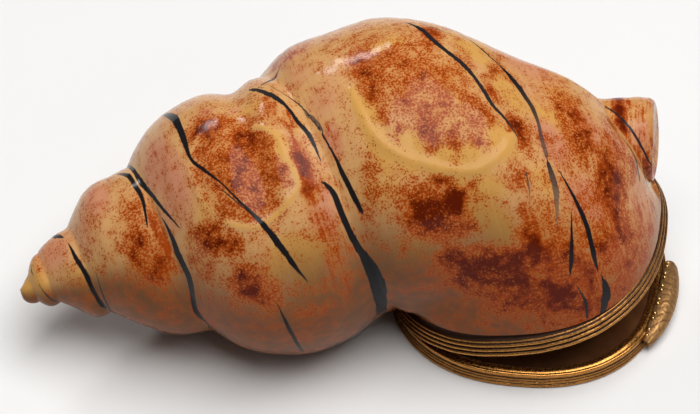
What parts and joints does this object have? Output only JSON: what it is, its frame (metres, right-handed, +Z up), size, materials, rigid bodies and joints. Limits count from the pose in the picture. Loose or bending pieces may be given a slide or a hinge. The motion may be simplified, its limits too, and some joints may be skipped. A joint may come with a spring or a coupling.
{
  "type": "hinged porcelain whelk shell trinket box",
  "caption": "Hand-painted glazed porcelain trinket box shaped as a whelk shell, with reeded gilt brass rims that open on a hinge and close with a beaded clasp.",
  "frame": {"origin": "centre of the bottom of the part's box, on the table", "axes": "+X along the shell from the tip of its spire to its canal, -Y the front that shows the painted side, +Z up"},
  "size_m": [0.0904, 0.047, 0.0418],
  "materials": {
    "porcelain": "hand-painted, glossy glaze",
    "plate_porcelain": "white, glossy glaze",
    "gilt_brass": "antiqued gilt, satin"
  },
  "bodies": {
    "base": {"base_bezel": "gilt_brass", "base_plate": "plate_porcelain", "clasp": "gilt_brass", "hinge_knuckle_back": "gilt_brass", "hinge_knuckle_front": "gilt_brass", "hinge_pin": "gilt_brass"},
    "shell": {"shell_body": "porcelain", "shell_bezel": "gilt_brass", "hinge_knuckle_middle": "gilt_brass"}
  },
  "joints": [
    {"name": "shell_hinge", "type": "hinge", "parent": "base", "child": "shell", "pos_m": [0.00376, 0.00006, 0.0025], "axis": [-0.1874, -0.9823, 0], "range_deg": [-11.5, 75]}
  ]
}
